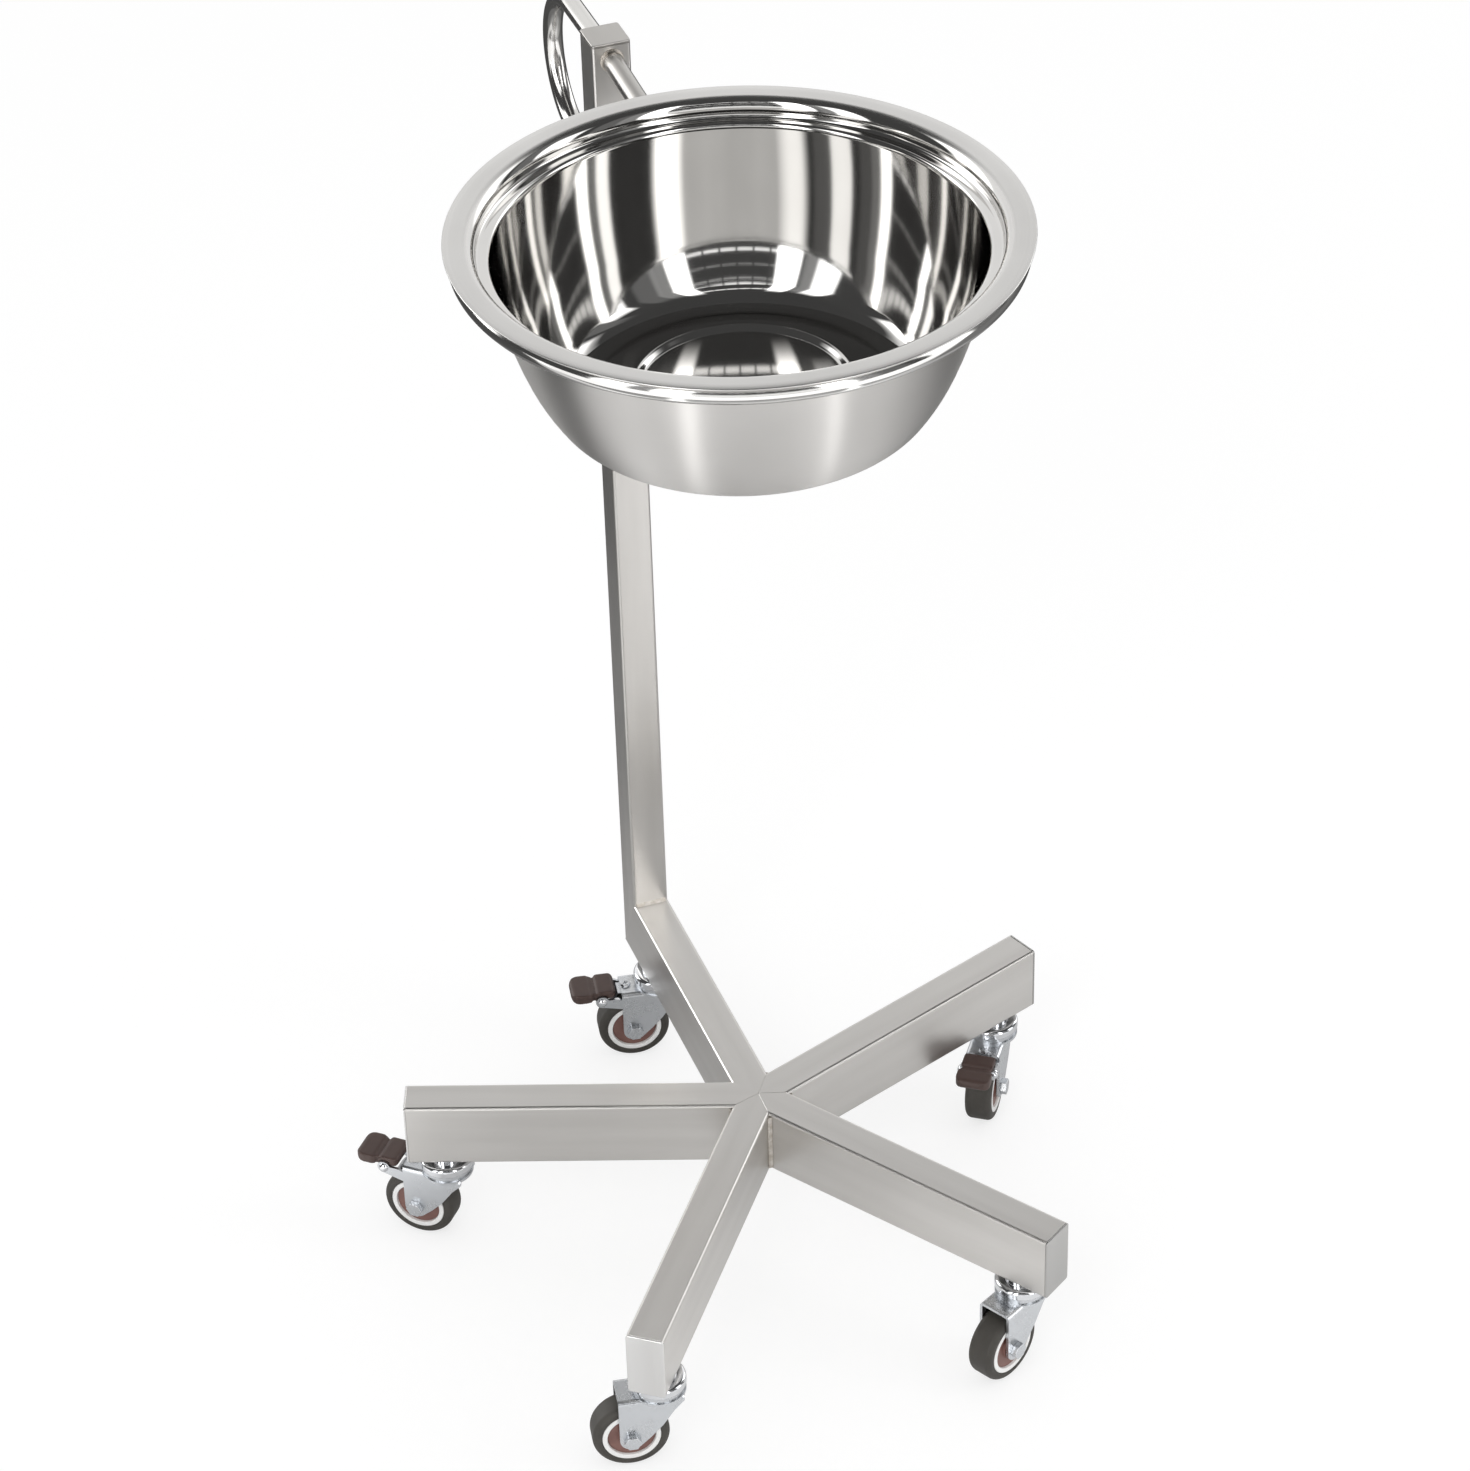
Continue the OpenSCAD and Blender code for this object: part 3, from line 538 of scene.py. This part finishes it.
def grow(tree, kind, settings=None, **links):
    made = tree.nodes.new(kind)
    for key, value in (settings or {}).items():
        setattr(made, key, value)
    for key, value in links.items():
        slot = made.inputs[key.replace("_", " ")]
        if hasattr(value, "is_output"):
            tree.links.new(value, slot)
        else:
            slot.default_value = value
    return made


def endTree(tree, geometry, look):
    plain = grow(tree, "GeometryNodeRealizeInstances", Geometry=geometry)
    dressed = grow(tree, "GeometryNodeSetMaterial", Geometry=plain.outputs[0], Material=look)
    end = tree.nodes.new("NodeGroupOutput")
    tree.links.new(dressed.outputs[0], end.inputs[0])


def barTree():
    tree = bpy.data.node_groups.new("roundBar", "GeometryNodeTree")
    ids = addInputs(tree, [("Radius", "NodeSocketFloat"), ("Facets", "NodeSocketInt"),
                           ("Look", "NodeSocketMaterial")])
    given = tree.nodes.new("NodeGroupInput").outputs
    curve = grow(tree, "GeometryNodeMeshToCurve", Mesh=given["Geometry"])
    circle = grow(tree, "GeometryNodeCurvePrimitiveCircle", Radius=given["Radius"],
                  Resolution=given["Facets"])
    tube = grow(tree, "GeometryNodeCurveToMesh", Curve=curve.outputs[0],
                Profile_Curve=circle.outputs[0], Fill_Caps=True)
    endTree(tree, tube.outputs[0], given["Look"])
    return tree, ids


beadDrops = {"segments": 10, "rings": 6, "smallest": (0.92, 0.92, 0.55), "largest": (1.0, 1.0, 0.7)}


def beadTree(spec):
    tree = bpy.data.node_groups.new("weldBead", "GeometryNodeTree")
    ids = addInputs(tree, [("Radius", "NodeSocketFloat"), ("Spacing", "NodeSocketFloat"),
                           ("Seed", "NodeSocketInt"), ("Look", "NodeSocketMaterial")])
    given = tree.nodes.new("NodeGroupInput").outputs
    curve = grow(tree, "GeometryNodeMeshToCurve", Mesh=given["Geometry"])
    points = grow(tree, "GeometryNodeCurveToPoints", {"mode": "LENGTH"}, Curve=curve.outputs[0],
                  Length=given["Spacing"])
    drop = grow(tree, "GeometryNodeMeshUVSphere", Segments=spec["segments"], Rings=spec["rings"],
                Radius=given["Radius"])
    size = grow(tree, "FunctionNodeRandomValue", {"data_type": "FLOAT_VECTOR"}, Seed=given["Seed"])
    for i, limit in enumerate((spec["smallest"], spec["largest"])):
        corner = grow(tree, "ShaderNodeCombineXYZ", X=limit[0], Y=limit[1], Z=limit[2])
        tree.links.new(corner.outputs[0], size.inputs[i])
    placed = grow(tree, "GeometryNodeInstanceOnPoints", Points=points.outputs["Points"],
                  Instance=drop.outputs["Mesh"], Rotation=points.outputs["Rotation"],
                  Scale=size.outputs["Value"])
    endTree(tree, placed.outputs[0], given["Look"])
    return tree, ids


trees = {"bar": barTree(), "bead": beadTree(beadDrops)}


def grown(kind, paths, closed, values):
    verts, edges = [], []
    for path, loop in zip(paths, closed):
        base = len(verts)
        verts += path
        edges += [(base + i, base + i + 1) for i in range(len(path) - 1)]
        if loop:
            edges.append((base + len(path) - 1, base))
    mesh = bpy.data.meshes.new(kind)
    mesh.from_pydata(verts, edges, [])
    holder = bpy.data.objects.new(kind, mesh)
    scene.collection.objects.link(holder)
    tree, ids = trees[kind]
    step = holder.modifiers.new(kind, "NODES")
    step.node_group = tree
    for name, value in values.items():
        step[ids[name]] = value
    result = flattened(holder)
    bm = bmesh.new()
    bm.from_mesh(result)
    bmesh.ops.recalc_face_normals(bm, faces=bm.faces)
    bm.to_mesh(result)
    bm.free()
    return result


# push handle and bowl ring

barShape = {"reach": 0.0983, "bend": 0.045, "bendCuts": 60, "bar": 0.00635, "facets": 40,
            "ringCuts": 240, "smooth": 40}


def addBar(node, piece, path, closed, look, spec):
    mesh = grown("bar", [path], [closed],
                 {"Radius": spec["bar"], "Facets": spec["facets"], "Look": look})
    smoothByAngle(mesh, spec["smooth"])
    addPiece(piece, mesh, "stand", "bright_steel", look, node)


def makeHandle(spec):
    low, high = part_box("push_handle")
    back, top = low.y, high.z - spec["bar"]
    centreY, centreZ = back + spec["reach"] - spec["bend"], top - spec["bend"]
    path = [(0, back, top)]
    for k in range(spec["bendCuts"] + 1):
        turn = math.radians(90 - 180 * k / spec["bendCuts"])
        path.append((0, centreY + spec["bend"] * math.cos(turn),
                     centreZ + spec["bend"] * math.sin(turn)))
    path.append((0, back, top - 2 * spec["bend"]))
    addBar("push_handle", "push_handle_tube", path, False, nodeLooks["push_handle"], spec)


def makeRing(spec):
    low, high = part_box("bowl_ring")
    radius = (high.x - low.x) / 2 - spec["bar"]
    centre = (low + high) / 2
    turns = [2 * math.pi * k / spec["ringCuts"] for k in range(spec["ringCuts"])]
    path = [(centre.x + radius * math.cos(a), centre.y + radius * math.sin(a), centre.z)
            for a in turns]
    addBar("bowl_ring", "bowl_ring_bar", path, True, looks["bright_steel"], spec)


# weld beads

weldBeads = {
    "cornerRadius": 0.0013, "cornerEnd": 0.002, "ringRadius": 0.0009, "ringOut": 0.6,
    "spacing": 0.0011, "seed": 7, "bar": 0.00635, "offFace": 0.0004, "offPost": 0.0005,
    "footHalf": 10, "footStep": 2,    # millimetres
}


def islandBoxes(node):
    bm = bmesh.new()
    bm.from_mesh(mergedCopy(node))
    left, boxes = set(bm.verts), []
    while left:
        start = left.pop()
        heap, points = [start], [start.co.copy()]
        while heap:
            for edge in heap.pop().link_edges:
                for vert in edge.verts:
                    if vert in left:
                        left.discard(vert)
                        heap.append(vert)
                        points.append(vert.co.copy())
        boxes.append((Vector([min(p[i] for p in points) for i in range(3)]),
                      Vector([max(p[i] for p in points) for i in range(3)])))
    bm.free()
    return sorted(boxes, key=lambda pair: tuple(pair[0]))


def makeBeads(name, paths, closed, radius, spec):
    mesh = grown("bead", paths, closed, {"Radius": radius, "Spacing": spec["spacing"],
                                         "Seed": spec["seed"], "Look": looks["weld"]})
    smoothAll(mesh)
    addPiece(name, mesh, "stand", "weld", looks["weld"])


def makeWelds(spec):
    corners = []
    for low, high in islandBoxes("corner_welds"):
        x, y = (low.x + high.x) / 2, (low.y + high.y) / 2
        corners.append([(x, y, low.z + spec["cornerEnd"]), (x, y, high.z - spec["cornerEnd"])])
    makeBeads("corner_beads", corners, [False] * len(corners), spec["cornerRadius"], spec)
    postLow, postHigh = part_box("post")
    handleLow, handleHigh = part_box("push_handle")
    ring = spec["bar"] + spec["ringRadius"] * spec["ringOut"]
    front, back = postLow.y - spec["offFace"], postHigh.y + spec["offFace"]
    upper, lower = handleHigh.z - spec["bar"], handleLow.z + spec["bar"]
    loops = []
    for y, z in ((front, upper), (back, upper), (back, lower)):
        loops.append([(ring * math.cos(math.radians(a)), y, z + ring * math.sin(math.radians(a)))
                      for a in range(0, 360, 10)])
    half, legTop = spec["footHalf"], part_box("rear_leg")[1].z
    foot = [(x / 1000, postLow.y - spec["offPost"], legTop + spec["offFace"])
            for x in range(-half, half + 1, spec["footStep"])]
    makeBeads("frame_beads", loops + [foot], [True] * 3 + [False], spec["ringRadius"], spec)


# moulded pedals

pedalMould = {"voxel": 0.0005, "smooth": 14}


def makePedal(node, spec):
    mesh = withModifiers(mergedCopy(node),
                         ("REMESH", {"mode": "VOXEL", "voxel_size": spec["voxel"]}),
                         ("SMOOTH", {"factor": 0.5, "iterations": spec["smooth"]}))
    smoothAll(mesh)
    addPiece(node + "_moulding", mesh, bodyOf[node], slotOf[node], looks[slotOf[node]], node)


# stage

# the floor's tones are those that metal mirrors; distances from the hub in metres
floorStage = {
    "half": 9.0, "seen": 0.32, "lift": 0.72,
    "near": 0.64, "middle": 0.30, "dark": 0.17,
    "middleFrom": (0.38, 0.56), "darkFrom": (0.80, 0.90),
    "patches": 0.30, "patchScale": 2.6, "sunny": 285, "slope": 0.8, "slopeRun": 0.4,
    "glow": 1.4, "glowFrom": (0.98, 1.05), "glowWay": 252, "glowSide": (0.3, 0.6),
    "shine": 0.14, "shineLost": 0.9,
    # bright bands on the floor: start, direction, half width, light
    "bands": [((-0.286, -0.186), 233, 0.034, 1.9), ((0.265, -0.295), 281.5, 0.030, 1.8),
              ((-0.28, 0.01), 174, 0.12, 0.70), ((0.26, -0.17), 325, 0.09, 0.20)],
    "bandSoft": 0.016, "bandStart": (-0.03, 0.05),
}


def flatCard(name, corners):
    mesh = bpy.data.meshes.new(name)
    mesh.from_pydata(corners, [], [tuple(range(len(corners)))])
    card = bpy.data.objects.new(name, mesh)
    scene.collection.objects.link(card)
    return card


def makeFloor(spec):
    half = spec["half"]
    corners = [(-half, -half, 0), (half, -half, 0), (half, half, 0), (-half, half, 0)]
    floor = flatCard("floor", corners)
    mat = bpy.data.materials.new("floor")
    mat.use_nodes = True
    tree = mat.node_tree
    tree.nodes.clear()
    seen = Val(tree, tree.nodes.new("ShaderNodeLightPath").outputs["Is Camera Ray"])
    at = Val(tree, tree.nodes.new("ShaderNodeTexCoord").outputs["Object"])
    away = at.node("ShaderNodeVectorMath", {"operation": "LENGTH"}, {0: at}, out="Value")
    part = [at.part(i) for i in range(2)]

    def along(place, degrees):
        a = math.radians(degrees)
        return (part[0] - place[0]) * math.cos(a) + (part[1] - place[1]) * math.sin(a)

    run = spec["slopeRun"]
    slope = along((0, 0), spec["sunny"]).between(-run, run) - 0.5
    patch = 1 + (at.noise(spec["patchScale"], 1, 0.4) - 0.5) * (2 * spec["patches"])
    patch = patch * (1 + slope * spec["slope"])
    edge = away.between(*spec["darkFrom"])
    shade = (away.between(*spec["middleFrom"]) * (spec["middle"] - spec["near"]) + spec["near"]
             + edge * (spec["dark"] - spec["middle"])) * patch
    ahead = along((0, 0), spec["glowWay"]).between(*spec["glowSide"])
    far = away.between(*spec["glowFrom"]) * ahead
    bright = far * spec["glow"] + (1 - edge * spec["shineLost"]) * patch * spec["shine"]
    soft = spec["bandSoft"]
    for place, degrees, width, light in spec["bands"]:
        across = along(place, degrees + 90).abs().between(width + soft, width - soft)
        bright = bright + across * along(place, degrees).between(*spec["bandStart"]) * light
    plain = seen.node("ShaderNodeBsdfDiffuse", {}, {"Color": rgb([spec["seen"]] * 3)})
    lift = seen.node("ShaderNodeEmission", {}, {"Strength": spec["lift"]})
    lit = seen.node("ShaderNodeAddShader", {}, {0: plain, 1: lift})
    tone = shade.node("ShaderNodeCombineColor", {}, {0: shade, 1: shade, 2: shade})
    matt = seen.node("ShaderNodeBsdfDiffuse", {}, {"Color": tone})
    shine = seen.node("ShaderNodeEmission", {}, {"Strength": bright})
    mirrored = seen.node("ShaderNodeAddShader", {}, {0: matt, 1: shine})
    both = seen.node("ShaderNodeMixShader", {}, {0: seen, 1: mirrored, 2: lit})
    out = tree.nodes.new("ShaderNodeOutputMaterial")
    tree.links.new(both.socket, out.inputs["Surface"])
    floor.data.materials.append(mat)


# the room that metal mirrors: azimuths in degrees, heights as the z of a unit direction
studio = {
    "diffuse": 0.80, "dark": 0.075, "overhead": 0.07, "overheadFrom": (0.80, 0.90),
    # azimuth, half width, light, height of the top
    "strips": [(224, 6, 5.0, 0.86), (201, 6.5, 3.0, 0.78), (286, 5.5, 4.5, 0.86),
               (333, 10, 2.4, 0.64), (211, 4, 0.3, 0.8), (297, 4, 0.3, 0.8),
               (307, 7, 0.12, 0.8), (352, 8, 0.14, 0.8)],
    "stripSoft": 1.5, "stripFade": 0.06,
    # height, half thickness, light, broken into panes or not
    "rows": [(0.10, 0.15, 1.2, False), (0.33, 0.012, 1.5, True), (0.45, 0.006, 0.35, True),
             (0.555, 0.007, 0.5, True), (0.60, 0.012, 1.6, True), (0.80, 0.012, 2.0, True),
             (0.91, 0.012, 1.4, False)],
    "rowSoft": 0.004, "window": (252, 32), "windowSoft": 1, "pane": 9, "paneBar": (0.10, 0.14),
    # the wide bright side behind the stand, with a glow at each of its borders
    "behind": (78.5, 70.5), "behindSoft": 3.5, "behindLight": 1.08, "behindTop": (0.74, 0.65),
    "clouds": 3.2, "cloudDepth": 0.30,
    "glows": [(19, 11, 1.5), (137, 12, 3.4)], "glowSoft": (7, 5), "glowTop": (0.68, 0.58),
}


def cosine(degrees):
    return math.cos(math.radians(degrees))


def studioLight(way, spec):
    part = [way.part(i) for i in range(3)]
    level = (part[0] * part[0] + part[1] * part[1] + 1e-6) ** 0.5
    x, y, z = part[0] / level, part[1] / level, part[2]

    def facing(degrees, half, inward, outward):
        a = math.radians(degrees)
        return (x * math.cos(a) + y * math.sin(a)).between(cosine(half + outward),
                                                           cosine(half - inward))

    front = spec["dark"]
    soft, fade = spec["stripSoft"], spec["stripFade"]
    for centre, half, light, high in spec["strips"]:
        strip = facing(centre, half, soft, soft) * z.between(high + fade, high - fade)
        front = strip * light + front
    window = facing(*spec["window"], spec["windowSoft"], spec["windowSoft"])
    turn = y.sum("ARCTAN2", y, x) * (180 / math.pi / spec["pane"])
    panes = turn.sum("FRACT", turn).between(*spec["paneBar"])
    soft = spec["rowSoft"]
    for height, half, light, broken in spec["rows"]:
        row = (z - height).abs().between(half + soft, half - soft) * light
        front = front + row * window * (panes if broken else 1)
    behind = facing(*spec["behind"], spec["behindSoft"], spec["behindSoft"])
    cloud = 1 + (way.noise(spec["clouds"], 1, 0.4) - 0.5) * spec["cloudDepth"]
    glow = spec["behindLight"] * cloud
    for centre, half, light in spec["glows"]:
        glow = glow + facing(centre, half, *spec["glowSoft"]) * z.between(*spec["glowTop"]) * light
    back = glow * z.between(*spec["behindTop"]) + spec["dark"]
    low = front * (1 - behind) + behind * back
    top = z.between(*spec["overheadFrom"])
    return low * (1 - top) + top * spec["overhead"]


def makeWorld(spec):
    world = bpy.data.worlds.new("studio")
    scene.world = world
    world.use_nodes = True
    tree = world.node_tree
    tree.nodes.clear()
    path = tree.nodes.new("ShaderNodeLightPath")
    way = Val(tree, tree.nodes.new("ShaderNodeTexCoord").outputs["Generated"])
    seen = Val(tree, path.outputs["Is Camera Ray"])
    glossy = Val(tree, path.outputs["Is Glossy Ray"])
    room = glossy * studioLight(way, spec) + (1 - glossy) * spec["diffuse"]
    strength = seen + (1 - seen) * room
    back = seen.node("ShaderNodeBackground", {}, {"Color": (1, 1, 1, 1), "Strength": strength})
    out = tree.nodes.new("ShaderNodeOutputWorld")
    tree.links.new(back.socket, out.inputs["Surface"])


lamps = {
    "key": {"place": (-1.6, -2.0, 2.6), "aim": (0, 0, 0.5), "size": (1.2, 1.2), "watts": 16},
    "fill": {"place": (2.4, -1.2, 1.9), "aim": (0, 0, 0.5), "size": (1.0, 1.6), "watts": 9},
}


def makeLamps(specs):
    for name, spec in specs.items():
        data = bpy.data.lights.new(name, "AREA")
        data.shape = "RECTANGLE"
        data.size, data.size_y = spec["size"]
        data.energy = spec["watts"]
        lamp = bpy.data.objects.new(name, data)
        lamp.visible_glossy = False    # metal mirrors the strips, not the lamps
        scene.collection.objects.link(lamp)
        lamp.location = spec["place"]
        sight = Vector(spec["aim"]) - Vector(spec["place"])
        lamp.rotation_euler = sight.to_track_quat("-Z", "Y").to_euler()


makeFloor(floorStage)
makeWorld(studio)
makeLamps(lamps)
scene.view_settings.view_transform = "Standard"
print("stage set")

makeBowl(bowlShape)
makeHandle(barShape)
makeWelds(weldBeads)
makeRing(barShape)
print("bowl, handle, ring and weld beads made")

made = {"bowl", "push_handle", "bowl_ring"}
for node in frame["nodes"]:
    if node.endswith("_pedal"):
        makePedal(node, pedalMould)
    elif node not in made:
        dressNode(node)
print("pieces dressed")
